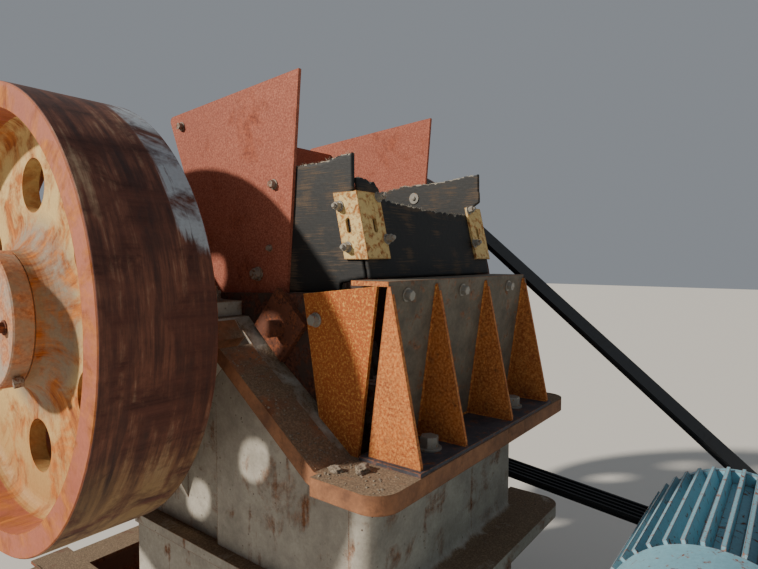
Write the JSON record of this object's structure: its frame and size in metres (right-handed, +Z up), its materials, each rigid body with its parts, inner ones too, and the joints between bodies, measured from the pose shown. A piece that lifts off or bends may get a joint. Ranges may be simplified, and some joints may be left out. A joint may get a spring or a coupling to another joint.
{
  "type": "jaw crusher",
  "caption": "Rock jaw crusher with spoked flywheels, gusseted feed hopper with rubber skirts, belt drive, finned electric motor and steel skid.",
  "frame": {"origin": "on the ground, at the centre of the skid's four anchor holes", "axes": "+X along the shaft towards the belt drive, -Y towards the feed and fixed jaw end, +Z up"},
  "size_m": [1.8, 2.66, 1.9359],
  "materials": {
    "frame_paint": "weathered grey-white paint with rust",
    "rusty_plate": "matt rusted steel plate",
    "wheel_paint": "rusted cream paint",
    "jaw_steel": "worn cast manganese steel",
    "dark_steel": "dull dark cast steel",
    "shaft_steel": "turned steel",
    "skirt_rubber": "weathered black sheet",
    "belt_rubber": "black ribbed belt",
    "angle_paint": "yellow-cream paint, rusting",
    "motor_paint": "light blue paint with rust spots",
    "skid_steel": "rusted structural steel"
  },
  "bodies": {
    "machine": {"frame_left_side": "frame_paint", "frame_right_side": "frame_paint", "frame_front_end": "frame_paint", "frame_rear_end": "frame_paint", "fixed_jaw_die": "jaw_steel", "moving_jaw_die": "jaw_steel", "left_cheek_plate": "rusty_plate", "right_cheek_plate": "rusty_plate", "left_cheek_clamp": "rusty_plate", "right_cheek_clamp": "rusty_plate", "left_bearing_cap": "frame_paint", "right_bearing_cap": "frame_paint", "pitman": "dark_steel", "toggle_plate": "dark_steel", "toggle_block": "dark_steel", "tension_rod": "dark_steel", "tension_spring": "dark_steel", "hopper_front_wall": "rusty_plate", "hopper_left_side": "rusty_plate", "hopper_right_side": "rusty_plate", "left_wing_plate": "rusty_plate", "right_wing_plate": "rusty_plate", "hopper_rear_plate": "rusty_plate", "left_rubber_skirt": "skirt_rubber", "right_rubber_skirt": "skirt_rubber", "front_rubber_skirt": "skirt_rubber", "left_corner_angle": "angle_paint", "right_corner_angle": "angle_paint", "drive_belt": "belt_rubber", "motor_housing": "motor_paint", "motor_fan_cover": "motor_paint", "motor_base": "motor_paint", "motor_sheave": "dark_steel", "left_skid_beam": "skid_steel", "right_skid_beam": "skid_steel", "skid_cross_members": "skid_steel", "motor_stand": "skid_steel"},
    "rotor": {"eccentric_shaft": "shaft_steel", "flywheel": "wheel_paint", "flywheel_lock_ring": "rusty_plate", "drive_sheave": "wheel_paint", "sheave_lock_ring": "rusty_plate"}
  },
  "joints": [
    {"name": "rotor_spin", "type": "hinge", "parent": "machine", "child": "rotor", "pos_m": [0, 0.57, 1.27], "axis": [1, 0, 0], "continuous": true}
  ]
}
